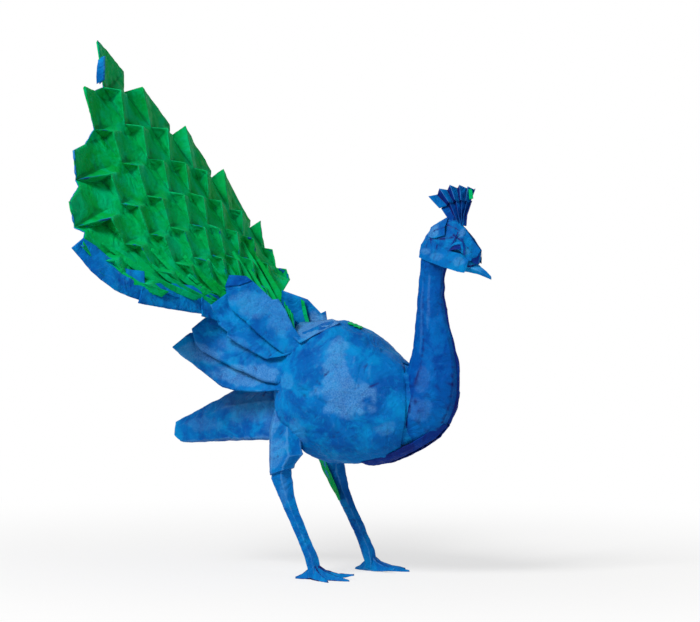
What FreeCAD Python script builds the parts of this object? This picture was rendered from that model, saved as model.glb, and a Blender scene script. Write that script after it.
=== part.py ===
"""Origami peacock: one square sheet, blue on one face and green on the other, folded into a
standing bird with its train raised.  One closed solid.  Millimetres; +X is the way that the bird
faces, +Y its left side, +Z up; the soles stand on Z = 0."""

import FreeCAD
import Part
import math
import os

# ---- driving dimensions ------------------------------------------------------------------------
stance_width = 40.0          # between the middles of the two feet
stride = 3.0                 # how far the left foot stands ahead of the right one
belly_height = 45.0          # lowest point of the belly above the floor

body_length = 62.0           # rump to the base of the neck
body_height = 57.0           # belly to back
body_width = 42.0            # across the flanks
body_middle = 2.0            # middle of the body ahead of the drawing's origin
body_sides = 12              # flats round the body
body_square = 0.86           # 1 is an ellipse, less is squarer
rump_depth = 26.0            # gathered paper between back and train, along the train
rump_width = 30.0            # the same, side to side

neck_depth = 12.0            # front to back, where the neck is slimmest
neck_width = 8.4             # side to side, in the same place
neck_height = 123.6          # top of the neck above the floor
neck_sides = 8               # flats round the neck and the head

head_length = 31.0           # back of the head to the tip of the beak
head_height = 20.0           # throat to crown
head_width = 12.6            # across the eyes

crest_radius = 14.8          # stem to the rim of the crest
crest_open = 86.0            # degrees that the crest fans over
crest_pleats = 7             # mountain folds in the crest
crest_depth = 3.4            # across one pleat, side to side

train_length = 187.0         # centre of the train's fan to the corner of the sheet
train_base = 48.0            # the same centre to where the train leaves the back
train_lean = 53.3            # degrees of the train's middle above the horizontal
train_reach = 75.5           # middle of the train to each side corner
train_corner = 111.0         # centre of the fan to the line through both side corners
train_pleats = 4             # pleats on each side of the middle one
pleat_angle = 8.2            # degrees between the folds of the train
train_rows = 7               # rows of scales from back to corner
row_first = 70.0             # centre of the fan to the first row of scales
row_margin = 20.0            # last row of scales to the corner of the sheet
row_bow = 9.5                # how far a row drops back at the side corners
scale_depth = 12.0           # peak to pit of the largest scales
roof_fall = 13.0             # how far the side corners lie below the middle of the train
rim_tooth = 7.0              # how far the folds' ends stand out past the sheet's straight edge
rim_notch = 6.0              # how far the valleys' ends lie inside it
tip_curl = 5.0               # how far the sheet's corner curls forward
hem_share = 0.28             # width of the turned hem, as a share of a pleat
paper = 0.9                  # folded paper, layers together

wing_feathers = 4            # pleats in each wing
wing_start = 21.0            # degrees from level of the lowest feather, seen from the fan centre
feather_angle = 5.9          # degrees between the folds of a wing
wing_inner = 77.0            # fan centre to the inner ends of the folds
wing_outer = 116.0           # fan centre to the tips
wing_flare = 9.0             # how far the tips stand out from the shoulder
feather_step = 2.6           # step from one feather to the next
left_wing_drop = 26.0        # degrees that the left wing hangs lower than the right one

flap_length = 47.0           # under-tail flap, body to blunt end
flap_root = 22.0             # its height at the body
flap_end = 8.6               # its height at the blunt end

knee_height = 40.0           # knee above the floor
knee_depth = 8.4             # front to back at the knee
ankle_depth = 5.2            # front to back above the foot
leg_lean = 15.8              # how far the knee stands behind the foot
foot_x = 0.5                 # the feet ahead of the drawing's origin
toe_length = 17.8            # foot's middle to the tip of a front toe
toe_width = 3.2              # across a toe where it leaves the foot
toe_thickness = 2.2          # height of a toe there


# ---- helpers -----------------------------------------------------------------------------------
def vec(x, y, z):
    return FreeCAD.Vector(x, y, z)


ahead = vec(1, 0, 0)
up = vec(0, 0, 1)


def closed(points, triangles):
    """A closed solid from flat triangles, with those of no area left out."""
    kept = []
    for one, two, three in triangles:
        a, b, c = points[one], points[two], points[three]
        if (b - a).cross(c - a).Length > 1e-6:
            kept.append((one, two, three))
    skin = Part.Shape()
    skin.makeShapeFromMesh((points, kept), 0.0005)
    solid = Part.Solid(Part.Shell(skin.Faces))
    if solid.Volume < 0:
        solid.reverse()
    return solid


def skin(rings):
    """A solid over rings of points, each ring with the same count, closed at both ends."""
    count = len(rings[0])
    points = [point for ring in rings for point in ring]
    triangles = []
    for row in range(len(rings) - 1):
        for place in range(count):
            a = row * count + place
            b = row * count + (place + 1) % count
            triangles.append((a, b, b + count))
            triangles.append((a, b + count, a + count))
    for row, turned in ((0, True), (len(rings) - 1, False)):
        middle = FreeCAD.Vector()
        for point in rings[row]:
            middle += point * (1.0 / count)
        points.append(middle)
        for place in range(count):
            a = row * count + place
            b = row * count + (place + 1) % count
            triangles.append((b, a, len(points) - 1) if turned else (a, b, len(points) - 1))
    return closed(points, triangles)


def ring(centre, way, deep_way, half_depth, half_width, sides, turn=0.0, square=1.0):
    """A ring of points round centre, square to way, with its depth along deep_way."""
    across = way.cross(deep_way)
    across.normalize()
    points = []
    for place in range(sides):
        angle = 2 * math.pi * (place + turn) / sides
        c, s = math.cos(angle), math.sin(angle)
        c = math.copysign(abs(c) ** square, c)
        s = math.copysign(abs(s) ** square, s)
        points.append(centre + deep_way * (c * half_depth) + across * (s * half_width))
    return points


def plate(top, bottom, columns, rows):
    """A closed sheet between two grids of points, columns by rows."""
    shift = len(top)
    points = top + bottom
    triangles = []
    for column in range(columns - 1):
        for row in range(rows - 1):
            a = column * rows + row
            b = a + rows
            for one, two, three in ((a, b, b + 1), (a, b + 1, a + 1)):
                triangles.append((one, two, three))
                triangles.append((one + shift, three + shift, two + shift))
    rim = [column * rows for column in range(columns)]
    rim += [(columns - 1) * rows + row for row in range(1, rows)]
    rim += [column * rows + rows - 1 for column in range(columns - 2, -1, -1)]
    rim += [row for row in range(rows - 2, 0, -1)]
    for place, a in enumerate(rim):
        b = rim[(place + 1) % len(rim)]
        triangles.append((b, a, a + shift))
        triangles.append((b, a + shift, b + shift))
    return closed(points, triangles)


def mirrored(solid):
    return solid.mirror(vec(0, 0, 0), vec(0, 1, 0))


# ---- body --------------------------------------------------------------------------------------
body_low = belly_height
body_mid = belly_height + body_height / 2
rear = body_middle - body_length / 2


def make_body():
    """A faceted lump: share of length, of the way up to its lowest and highest, of the width."""
    stations = (
        (0.00, 0.34, 0.58, 0.20),
        (0.09, 0.14, 0.76, 0.60),
        (0.25, 0.05, 0.94, 0.90),
        (0.46, 0.00, 1.00, 1.00),
        (0.66, -0.01, 0.92, 0.97),
        (0.84, 0.03, 0.77, 0.80),
        (1.02, 0.10, 0.66, 0.54),
        (1.17, 0.20, 0.60, 0.30),
        (1.27, 0.34, 0.52, 0.10),
    )
    rings = []
    for along, low, high, wide in stations:
        centre = vec(rear + along * body_length, 0, body_low + body_height * (low + high) / 2)
        half_height = body_height * (high - low) / 2
        half_width = body_width * wide / 2
        rings.append(ring(centre, ahead, up, half_height, half_width, body_sides, 0.5, body_square))
    return skin(rings)


# ---- neck and head -----------------------------------------------------------------------------
neck_x = rear + body_length * 1.13


def make_neck():
    """Rises from the breast, slims, and leans a little forward under the head."""
    low = body_low + body_height * 0.30
    rings = []
    for share, forward, deep, wide in (
        (0.00, -0.6, 1.20, 1.40),
        (0.18, 1.2, 1.72, 1.50),
        (0.36, 0.9, 1.52, 1.30),
        (0.52, 0.2, 1.22, 1.12),
        (0.72, -0.4, 1.04, 1.00),
        (0.90, -0.3, 1.00, 1.00),
        (1.04, 1.0, 1.06, 1.05),
    ):
        centre = vec(neck_x + forward, 0, low + share * (neck_height - low))
        half_depth = neck_depth * deep / 2
        rings.append(ring(centre, up, ahead, half_depth, neck_width * wide / 2, neck_sides, 0.5))
    return skin(rings)


head_back = neck_x - neck_depth / 2 + 1.0
head_low = neck_height - 0.5


def make_head():
    """Head with a blunt forehead, as shares of its length, height and width."""
    rings = []
    for along, low, high, wide in (
        (0.00, 0.25, 0.46, 0.34),
        (0.08, 0.16, 0.62, 0.72),
        (0.23, 0.12, 0.86, 0.96),
        (0.40, 0.03, 0.99, 1.00),
        (0.54, -0.02, 0.95, 0.92),
        (0.64, -0.05, 0.80, 0.80),
        (0.75, -0.05, 0.57, 0.64),
        (0.84, 0.00, 0.37, 0.46),
    ):
        centre = vec(head_back + along * head_length, 0, head_low + head_height * (low + high) / 2)
        half_height = head_height * (high - low) / 2
        rings.append(ring(centre, ahead, up, half_height, head_width * wide / 2, neck_sides, 0.5))
    return skin(rings)


def make_beak():
    """Short and bent down, out from under the forehead."""
    rings = []
    for along, low, high, wide in (
        (0.60, -0.07, 0.20, 0.44),
        (0.78, -0.10, 0.12, 0.40),
        (0.88, -0.15, -0.01, 0.24),
        (1.00, -0.24, -0.19, 0.06),
    ):
        centre = vec(head_back + along * head_length, 0, head_low + head_height * (low + high) / 2)
        half_height = head_height * (high - low) / 2
        rings.append(ring(centre, ahead, up, half_height, head_width * wide / 2, 4))
    return skin(rings)


crest_x = head_back + head_length * 0.52
crest_z = head_low + head_height * 0.93


def make_crest():
    """A little fan, pleated across its plane, that narrows to a stem at the crown."""
    folds = crest_pleats * 2
    first = math.radians(98 + crest_open / 2)
    front = []
    back = []
    for fold in range(folds + 1):
        angle = first - math.radians(crest_open) * fold / folds
        tooth = 1.0 if fold % 2 == 0 else 0.93
        side = crest_depth / 2 * (1 if fold % 2 == 0 else -1)
        for radius, share in ((-0.2, 0.1), (0.45, 0.5), (tooth, 1.0)):
            reach = crest_radius * radius
            x = crest_x + reach * math.cos(angle)
            z = crest_z + reach * math.sin(angle)
            if radius < 0:
                x = crest_x + (fold / folds - 0.5) * 3.0
                z = crest_z - 3.0
            front.append(vec(x, side * share + paper / 2, z))
            back.append(vec(x, side * share - paper / 2, z))
    return plate(front, back, folds + 1, 3)


# ---- train -------------------------------------------------------------------------------------
lean = math.radians(train_lean)
train_centre = vec(body_middle - 7.5, 0, body_low + body_height * 0.19)
train_way = vec(-math.cos(lean), 0, math.sin(lean))
train_face = vec(math.sin(lean), 0, math.cos(lean))
pleat = math.radians(pleat_angle)
train_edge = pleat * (train_pleats + hem_share)
high_level = 0.8             # mountain folds at the back and rim, as a share of the relief
low_level = -0.6             # valley folds there
tip_level = 0.4              # the two valleys beside the sheet's corner, which open out flat


row_last = train_length - row_margin


def train_row(place):
    """Distance of a row of scales from the centre of the fan; the rows widen outward."""
    share = place / (train_rows - 1)
    return row_first + (row_last - row_first) * (0.88 * share + 0.12 * share ** 2)


def train_outer(angle):
    """Where a fold at this angle meets the slanting outer edge of the sheet."""
    slant = (train_length - train_corner) / train_reach
    return train_length / (1.0 + abs(math.tan(angle)) * slant)


def train_inner(angle):
    """Where the same fold comes out from the back or from the lower edge of the train."""
    lower_corner = train_corner * 0.74
    return train_base + (lower_corner - train_base) * (angle / train_edge) ** 2


def on_train(angle, along, height):
    """A point of the train's top: fold angle, distance from the centre, height of the relief."""
    across = along * math.tan(angle)
    share = abs(across) / train_reach
    fall = roof_fall * (0.3 * share + 0.7 * share ** 2)
    spot = train_centre + train_way * (along - row_bow * share ** 2) + vec(0, across, 0)
    return spot + train_face * (height - fall)


def scale_size(along):
    """Half the depth of the relief: shallow at the back, full at the corner of the sheet."""
    return scale_depth / 2 * (0.3 + 0.7 * (along - train_base) / (row_last - train_base))


def train_column(angle, level, stops, outer, rim_level):
    """Points of one fold from back to rim; stops that fall outside the sheet join its ends."""
    inner = train_inner(angle)
    curl = tip_curl * max(0.0, 1.0 - abs(angle) / (pleat * 1.8))
    first = on_train(angle, inner, level * scale_size(inner))
    last = on_train(angle, outer, rim_level * scale_size(outer) + curl)
    points = [first]
    for turn, along, height in stops:
        if along < train_inner(angle + turn) * 1.03:
            points.append(first)
        elif along > outer / train_outer(angle) * train_outer(angle + turn) * 0.97:
            points.append(last)
        else:
            points.append(on_train(angle + turn, along, height))
    points.append(last)
    return points


def make_train():
    """Rows of scales: each has a peak, a ridge that runs inward to a corner beside the next
    peak, and a pit behind the corner of its neighbour.  A hem turns down along each side."""
    peaks = []
    pits = []
    hems = []
    for row in range(train_rows):
        along = train_row(row)
        gap = (train_row(row + 1) if row < train_rows - 1 else train_length) - along
        size = scale_size(along)
        peaks.append((0.0, along, size))
        peaks.append((pleat * 0.28, along + gap * 0.24, size * 0.85))
        pits.append((0.0, along - gap * 0.03, size * 0.4))
        pits.append((-pleat * 0.12, along + gap * 0.17, -size))
        hems.append((0.0, along, -size * 0.3))
        hems.append((0.0, along + gap * 0.4, -size * 0.9))
    hem_outer = train_outer(train_edge) * 0.94
    columns = [train_column(-train_edge, low_level, hems, hem_outer, low_level)]
    for place in range(-train_pleats, train_pleats + 1):
        angle = place * pleat
        tooth = rim_tooth * math.sin(math.pi * abs(angle) / train_edge) ** 2
        columns.append(train_column(angle, high_level, peaks, train_outer(angle) + tooth, high_level))
        if place < train_pleats:
            angle = (place + 0.52) * pleat
            beside_tip = place in (-1, 0)
            outer = train_outer(angle) - (0.0 if beside_tip else rim_notch)
            rim_level = tip_level if beside_tip else low_level
            columns.append(train_column(angle, low_level, pits, outer, rim_level))
    columns.append(train_column(train_edge, low_level, hems, hem_outer, low_level))
    top = [point for column in columns for point in column]
    bottom = [point - train_face * paper for point in top]
    return plate(top, bottom, len(columns), len(columns[0]))


def make_rump():
    """The gathered paper between the back and the train."""
    root = train_centre + train_way * train_base
    low = vec(rear + body_length * 0.3, 0, body_low + body_height * 0.62)
    rings = []
    for share, deep, wide in ((-0.1, 1.0, 1.0), (0.5, 0.77, 0.8), (1.0, 0.46, 0.73), (1.3, 0.2, 0.8)):
        centre = low + (root - low) * share
        half_width = rump_width * wide / 2
        rings.append(ring(centre, train_way, train_face, rump_depth * deep / 2, half_width, neck_sides, 0.5))
    return skin(rings)


# ---- wings -------------------------------------------------------------------------------------
wing_centre = vec(neck_x + 10.5, 0, body_low - 4.0)


def make_wing():
    """The right wing: flat feathers side by side, each a step out from the one above it, all
    pointing back from one far centre."""
    start = math.radians(wing_start)
    step = math.radians(feather_angle)
    front = []
    back = []
    lines = []
    for feather in range(wing_feathers):
        low = start + step * feather
        tip = 1.04 if feather else 1.08
        lines.append((low + step * 0.05, tip, 0.0))
        lines.append((low + step * 0.5, tip - 0.02, 0.4))
        lines.append((low + step * 0.95, 1.0, 1.0))
    lines.append((low + step * 1.22, 0.93, 0.2))
    lines.append((low + step * 1.45, 0.84, 0.8))
    for angle, tip, lift in lines:
        for share in (0.0, 0.45, 1.0):
            reach = wing_inner + (wing_outer * tip - wing_inner) * share
            x = wing_centre.x - reach * math.cos(angle)
            z = wing_centre.z + reach * math.sin(angle)
            y = -(body_width * 0.36 + wing_flare * share - feather_step * lift * (0.3 + 0.7 * share))
            front.append(vec(x, y - paper, z))
            back.append(vec(x, y + paper, z))
    return plate(front, back, len(lines), 3)


def make_left_wing():
    """The other wing, held lower."""
    wing = mirrored(make_wing())
    shoulder = vec(rear + body_length * 0.3, 0, body_low + body_height * 0.7)
    wing.rotate(shoulder, vec(0, 1, 0), -left_wing_drop)
    return wing


# ---- flap under the tail -----------------------------------------------------------------------
def make_flap():
    """Tapers back from the rump to a blunt end, creased along its top."""
    rings = []
    top = body_low + body_height * 0.53
    for share, wide in ((-0.5, 13.0), (0.0, 11.0), (0.5, 8.0), (1.0, 5.0)):
        height = flap_root + (flap_end - flap_root) * share
        high = top - 17.0 * max(share, -0.2)
        x = rear + 1.0 - (flap_length - 1.0) * share
        rings.append([
            vec(x, 0, high),
            vec(x, -wide * 0.38, high - height * 0.35),
            vec(x, -wide * 0.5, high - height * 0.85),
            vec(x, 0, high - height),
            vec(x, wide * 0.5, high - height * 0.85),
            vec(x, wide * 0.38, high - height * 0.35),
        ])
    return skin(rings)


# ---- legs --------------------------------------------------------------------------------------
def make_leg(side):
    """Thigh, knee and shank of one leg; side is -1 on the right and 1 on the left."""
    foot = vec(foot_x + side * stride / 2, side * stance_width / 2, 0)
    rings = []
    for height, back, deep, wide, inward in (
        (toe_thickness * 0.4, 0.0, ankle_depth * 1.1, ankle_depth * 0.9, 0.0),
        (toe_thickness * 2.0, 0.0, ankle_depth, ankle_depth * 0.75, 0.0),
        (knee_height * 0.26, 0.08, ankle_depth, ankle_depth * 0.75, 0.0),
        (knee_height * 0.66, 0.60, knee_depth * 0.60, knee_depth * 0.52, 0.03),
        (knee_height * 0.93, 0.95, knee_depth * 0.95, knee_depth * 0.72, 0.06),
        (knee_height * 1.04, 1.00, knee_depth * 1.1, knee_depth * 0.86, 0.08),
        (knee_height * 1.26, 0.88, knee_depth * 1.75, knee_depth * 1.2, 0.14),
        (knee_height * 1.55, 0.60, knee_depth * 2.4, knee_depth * 1.5, 0.30),
    ):
        y = foot.y * (1.0 - inward)
        centre = vec(foot.x - leg_lean * back, y, height)
        rings.append(ring(centre, up, ahead, deep / 2, wide / 2, 6, 0.5))
    return skin(rings)


def make_toe(side, turn, length, lift):
    """One toe, flat underneath, pointing turn degrees outward of straight ahead."""
    foot = vec(foot_x + side * stride / 2, side * stance_width / 2, 0)
    way = vec(math.cos(math.radians(turn)), side * math.sin(math.radians(turn)), 0)
    across = vec(-way.y, way.x, 0)
    rings = []
    for share, wide, high, raised in (
        (-0.12, 0.9, 1.2, 0.0),
        (0.1, 1.0, 1.3, 0.0),
        (0.55, 0.8, 0.9, 0.0),
        (1.0, 0.25, 0.45, lift),
    ):
        centre = foot + way * (length * share) + vec(0, 0, raised)
        half = across * (toe_width * wide / 2)
        top = vec(0, 0, toe_thickness * high)
        rings.append([centre - half, centre + half, centre + half * 0.5 + top, centre - half * 0.5 + top])
    return skin(rings)


def make_foot(side):
    toes = [make_toe(side, turn, toe_length * long, lift) for turn, long, lift in (
        (-24.0, 0.92, 1.6),
        (6.0, 1.0, 0.0),
        (38.0, 0.86, 0.0),
        (168.0, 0.40, 0.0),
    )]
    return toes[0].multiFuse(toes[1:])


# ---- assembly ----------------------------------------------------------------------------------
def make_bird():
    pieces = [
        make_body(), make_neck(), make_head(), make_beak(), make_crest(), make_rump(), make_flap(),
        make_train(), make_wing(), make_left_wing(),
    ]
    for side in (-1, 1):
        pieces += [make_leg(side), make_foot(side)]
    bird = pieces[0].multiFuse(pieces[1:])
    return bird.removeSplitter()


os.makedirs("parts", exist_ok=True)
bird = make_bird()
middle = bird.BoundBox.Center
bird.translate(vec(-middle.x, -middle.y, 0))
print("solids", len(bird.Solids), "faces", len(bird.Faces), "valid", bird.isValid())
print("volume", bird.Volume, "centre of mass", bird.Solids[0].CenterOfMass, bird.BoundBox, "moved", middle)
bird.Solids[0].exportStep("parts/peacock.step")
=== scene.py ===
import math

import bpy
import numpy as np
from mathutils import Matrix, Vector, noise


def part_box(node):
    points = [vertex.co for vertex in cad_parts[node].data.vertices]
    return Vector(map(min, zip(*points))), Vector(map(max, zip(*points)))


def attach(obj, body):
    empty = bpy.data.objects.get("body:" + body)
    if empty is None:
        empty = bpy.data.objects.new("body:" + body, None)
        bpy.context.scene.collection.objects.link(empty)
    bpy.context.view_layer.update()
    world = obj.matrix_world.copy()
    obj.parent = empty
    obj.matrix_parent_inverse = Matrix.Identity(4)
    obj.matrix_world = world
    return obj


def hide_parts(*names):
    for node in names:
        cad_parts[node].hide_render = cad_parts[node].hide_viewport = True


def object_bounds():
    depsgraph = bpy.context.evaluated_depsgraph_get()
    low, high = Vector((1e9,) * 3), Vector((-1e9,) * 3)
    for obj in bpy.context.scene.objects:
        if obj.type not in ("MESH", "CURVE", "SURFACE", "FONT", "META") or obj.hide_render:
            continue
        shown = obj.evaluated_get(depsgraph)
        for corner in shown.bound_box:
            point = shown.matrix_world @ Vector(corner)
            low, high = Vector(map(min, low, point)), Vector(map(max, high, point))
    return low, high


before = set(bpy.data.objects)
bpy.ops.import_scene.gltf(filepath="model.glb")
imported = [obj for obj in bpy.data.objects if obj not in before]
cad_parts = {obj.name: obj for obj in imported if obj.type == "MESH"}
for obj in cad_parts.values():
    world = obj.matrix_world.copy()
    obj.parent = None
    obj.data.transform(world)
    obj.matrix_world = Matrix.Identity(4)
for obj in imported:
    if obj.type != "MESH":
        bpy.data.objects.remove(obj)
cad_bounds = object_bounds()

noise.seed_set(1)       # noise_vector strays the same way in every run

# The bird is drawn in millimetres, with X ahead, Y to its left and Z up, and its origin a little
# ahead of the middle of the body.  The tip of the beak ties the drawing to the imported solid.
NODE = "peacock"
BEAK_TIP = 67.06                    # X of the tip of the beak in the drawing
MM = 0.001
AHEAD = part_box(NODE)[1].x - BEAK_TIP * MM       # from the drawing's origin to the frame's


def metres(point):
    """A point of the drawing, in the frame."""
    return (point[0] * MM + AHEAD, point[1] * MM, point[2] * MM)


def clamp(value):
    return min(max(value, 0.0), 1.0)


def put(name, thing):
    """An object for a mesh, a lamp or a lens, in the scene."""
    holder = bpy.data.objects.new(name, thing)
    bpy.context.collection.objects.link(holder)
    return holder


# ---- sheets of paper -------------------------------------
class Sheet:
    """Corners, facets and creases of folded paper; equal corners are one."""

    def __init__(self):
        self.corners = []
        self.facets = []
        self.sides = []
        self.creases = {}
        self.pins = set()
        self.known = {}

    def corner(self, point):
        key = tuple(round(value, 2) for value in point)
        if key not in self.known:
            self.known[key] = len(self.corners)
            self.corners.append(tuple(point))
        return self.known[key]

    def facet(self, points, side=0):
        corners = []
        for point in points:
            index = self.corner(point)
            if index not in corners:
                corners.append(index)
        if len(corners) > 2:
            self.facets.append(corners)
            self.sides.append(side)

    def crease(self, one, two, sharp=1.0):
        a, b = self.corner(one), self.corner(two)
        if a != b:
            pair = (min(a, b), max(a, b))
            self.creases[pair] = max(sharp, self.creases.get(pair, 0.0))

    def pin(self, points):
        """Keep these corners sharp."""
        self.pins.update(self.corner(point) for point in points)

    def grid(self, rows, side=0, closed=False, sharp_rows=(), sharp_columns=(), sharp=0.8):
        """Four-cornered facets between rows of points; closed joins each row's ends."""
        count = len(rows[0])
        for r in range(len(rows) - 1):
            for c in range(count if closed else count - 1):
                d = (c + 1) % count
                self.facet([rows[r][c], rows[r][d], rows[r + 1][d], rows[r + 1][c]], side)
        for r in sharp_rows:
            for c in range(count if closed else count - 1):
                self.crease(rows[r][c], rows[r][(c + 1) % count], sharp)
        for c in sharp_columns:
            for r in range(len(rows) - 1):
                self.crease(rows[r][c], rows[r + 1][c], sharp)

    def cap(self, ring, side=0):
        middle = tuple(sum(p[k] for p in ring) / len(ring) for k in range(3))
        for place, point in enumerate(ring):
            self.facet([point, ring[(place + 1) % len(ring)], middle], side)

    def tube(self, rings, **folds):
        """A grid over closed rings of points, with a cap at both ends."""
        self.grid(rings, closed=True, **folds)
        self.cap(rings[0][::-1])
        self.cap(rings[-1])

    def mirror(self):
        """The same sheet on the bird's other side."""
        other = Sheet()
        other.corners = [(x, -y, z) for x, y, z in self.corners]
        other.facets = [facet[::-1] for facet in self.facets]
        other.sides = list(self.sides)
        other.creases = dict(self.creases)
        other.pins = set(self.pins)
        return other

    def doubled(self):
        """The sheet and its mirror image, as one."""
        both = self.mirror()
        both.add(self)
        return both

    def add(self, other):
        shift = len(self.corners)
        self.corners += other.corners
        self.facets += [[index + shift for index in facet] for facet in other.facets]
        self.sides += other.sides
        for (a, b), sharp in other.creases.items():
            self.creases[(a + shift, b + shift)] = sharp
        self.pins.update(index + shift for index in other.pins)


def crumple(point, size):
    """Creased noise of about -1 to 1: soft domes that meet along thin lines."""
    place = Vector(point) / size
    domes = abs(noise.noise(place)) * 2.4 - 0.5
    dents = 0.5 - abs(noise.noise(place * 1.9 + Vector((7.3, 1.9, 4.1)))) * 2.4
    return domes + dents * 0.6


def painted_sheen_share(point, patches):
    """How much painted sheen a point gets: patches give X, Z, half the length, half the height,
    share.
    """
    most = 0.0
    stray = noise.noise(Vector(point) / 6.0) * 0.5 + noise.noise(Vector(point) / 2.2) * 0.25
    for x, z, long, high, share in patches:
        away = math.hypot((point[0] - x) / long, (point[2] - z) / high) + stray
        most = max(most, share * clamp((1.12 - away) / 0.24))
    return most


def arrays(mesh):
    """Corner places, normals and edges of a mesh."""
    count = len(mesh.vertices)
    places = np.empty(count * 3)
    mesh.vertices.foreach_get("co", places)
    normals = np.empty(count * 3)
    mesh.vertices.foreach_get("normal", normals)
    edges = np.empty(len(mesh.edges) * 2, dtype=int)
    mesh.edges.foreach_get("vertices", edges)
    return places.reshape(-1, 3), normals.reshape(-1, 3), edges.reshape(-1, 2)


def neighbours(values, edges):
    """Mean of each corner's neighbours."""
    total = np.zeros_like(values)
    count = np.zeros(len(values))
    np.add.at(total, edges[:, 0], values[edges[:, 1]])
    np.add.at(total, edges[:, 1], values[edges[:, 0]])
    np.add.at(count, edges[:, 0], 1)
    np.add.at(count, edges[:, 1], 1)
    count = np.maximum(count, 1)
    return total / (count[:, None] if values.ndim == 2 else count)


def settled(piece):
    """The piece's mesh with its modifiers worked in."""
    graph = bpy.context.evaluated_depsgraph_get()
    mesh = bpy.data.meshes.new_from_object(piece.evaluated_get(graph))
    piece.modifiers.clear()
    old = piece.data
    piece.data = mesh
    bpy.data.meshes.remove(old)
    mesh.name = piece.name
    return mesh


def note(mesh, name, kind, values):
    """Notes a number for each corner or each edge of a mesh."""
    attribute = mesh.attributes.new(name, "FLOAT", kind)
    attribute.data.foreach_set("value", np.array(values, dtype=np.float32))


def paper_piece(name, sheet, materials, levels=3, crumpled=0.2, size=9.0,
                thick=0.0, rim=0, wear_and_sheen=(), crisp=False):
    """Refines a sheet, crumples it, notes how it bends, for the painted highlight and shade of its
    folds, and how much painted sheen each point gets, and gives it thickness; a crisp sheet keeps
    its facets flat and its folds straight."""
    mesh = bpy.data.meshes.new(name)
    mesh.from_pydata([metres(point) for point in sheet.corners], [], sheet.facets)
    mesh.polygons.foreach_set("material_index", sheet.sides)
    for material in materials:
        mesh.materials.append(material)
    note(mesh, "crease_edge", "EDGE",
         [sheet.creases.get(tuple(sorted(edge.vertices)), 0.0) for edge in mesh.edges])
    note(mesh, "crease_vert", "POINT", [k in sheet.pins for k in range(len(mesh.vertices))])
    piece = put(name, mesh)

    fine = piece.modifiers.new("fine", "SUBSURF")
    fine.levels = fine.render_levels = levels
    fine.boundary_smooth = "PRESERVE_CORNERS"
    if crisp:
        fine.subdivision_type = "SIMPLE"
    mesh = settled(piece)

    places, normals, _ = arrays(mesh)
    rises = [crumple(place, size) + crumple(place, size * 0.37) * 0.35 for place in places / MM]
    places = places + normals * (np.array(rises) * crumpled * MM)[:, None]
    mesh.vertices.foreach_set("co", places.ravel())
    mesh.update()

    places, normals, edges = arrays(mesh)
    lengths = np.linalg.norm(places[edges[:, 0]] - places[edges[:, 1]], axis=1)
    span = max(float(np.median(lengths)), 1e-6)
    bend = ((neighbours(places, edges) - places) * normals).sum(axis=1) / span
    bend = bend * 0.5 + neighbours(bend, edges) * 0.5
    note(mesh, "bend", "POINT", bend)
    note(mesh, "painted_sheen", "POINT", [painted_sheen_share(place, wear_and_sheen) for place in (places - (AHEAD, 0, 0)) / MM])

    if thick:
        body = piece.modifiers.new("thick", "SOLIDIFY")
        body.thickness = thick * MM
        body.offset = -1.0
        body.material_offset = 1
        body.material_offset_rim = rim
        mesh = settled(piece)
    mesh.polygons.foreach_set("use_smooth", [True] * len(mesh.polygons))
    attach(piece, "root")
    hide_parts(NODE)


# ---- materials -------------------------------------------
def colour(red, green, blue):
    """A colour written as it shows on a screen, 0 to 255, in the renderer's own numbers."""
    linear = []
    for value in (red, green, blue):
        share = value / 255
        linear.append(share / 12.92 if share <= 0.04045 else ((share + 0.055) / 1.055) ** 2.4)
    return (*linear, 1.0)


def feed(tree, existing, inputs):
    """Sets a node's inputs to numbers and colours or links them to other nodes' outputs."""
    for socket, value in inputs.items():
        if isinstance(value, bpy.types.NodeSocket):
            tree.links.new(value, existing.inputs[socket])
        else:
            existing.inputs[socket].default_value = value


def node(tree, kind, inputs, output=0, **settings):
    """The output of a new node."""
    new = tree.nodes.new("ShaderNode" + kind)
    for name, value in settings.items():
        setattr(new, name, value)
    feed(tree, new, inputs)
    return new.outputs[output]


class Nodes:
    """Short ways to add the nodes of a new material."""

    def __init__(self, name):
        self.material = bpy.data.materials.new(name)
        self.material.use_nodes = True
        self.tree = self.material.node_tree
        self.shader = self.tree.nodes["Principled BSDF"]
        self.place = node(self.tree, "TexCoord", {}, "Object")

    def noise(self, scale, detail, roughness=0.55, twist=0.0):
        return node(self.tree, "TexNoise", {
            "Vector": self.place, "Scale": scale, "Detail": detail, "Roughness": roughness,
            "Distortion": twist}, "Fac")

    def span(self, source, low, high, out_low=0.0, out_high=1.0):
        return node(self.tree, "MapRange", {
            "Value": source, "From Min": low, "From Max": high, "To Min": out_low,
            "To Max": out_high}, "Result", interpolation_type="SMOOTHSTEP")

    def reckon(self, operation, *values):
        return node(self.tree, "Math", dict(enumerate(values)), operation=operation)

    def times(self, one, two):
        return self.reckon("MULTIPLY", one, two)

    def mix(self, share, one, two):
        """The colour one turning into two; 6, 7 and 2 are the node's colour sockets."""
        return node(self.tree, "Mix", {0: share, 6: one, 7: two}, 2, data_type="RGBA")

    def attribute(self, name):
        return node(self.tree, "Attribute", {}, "Fac", attribute_name=name)


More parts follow.
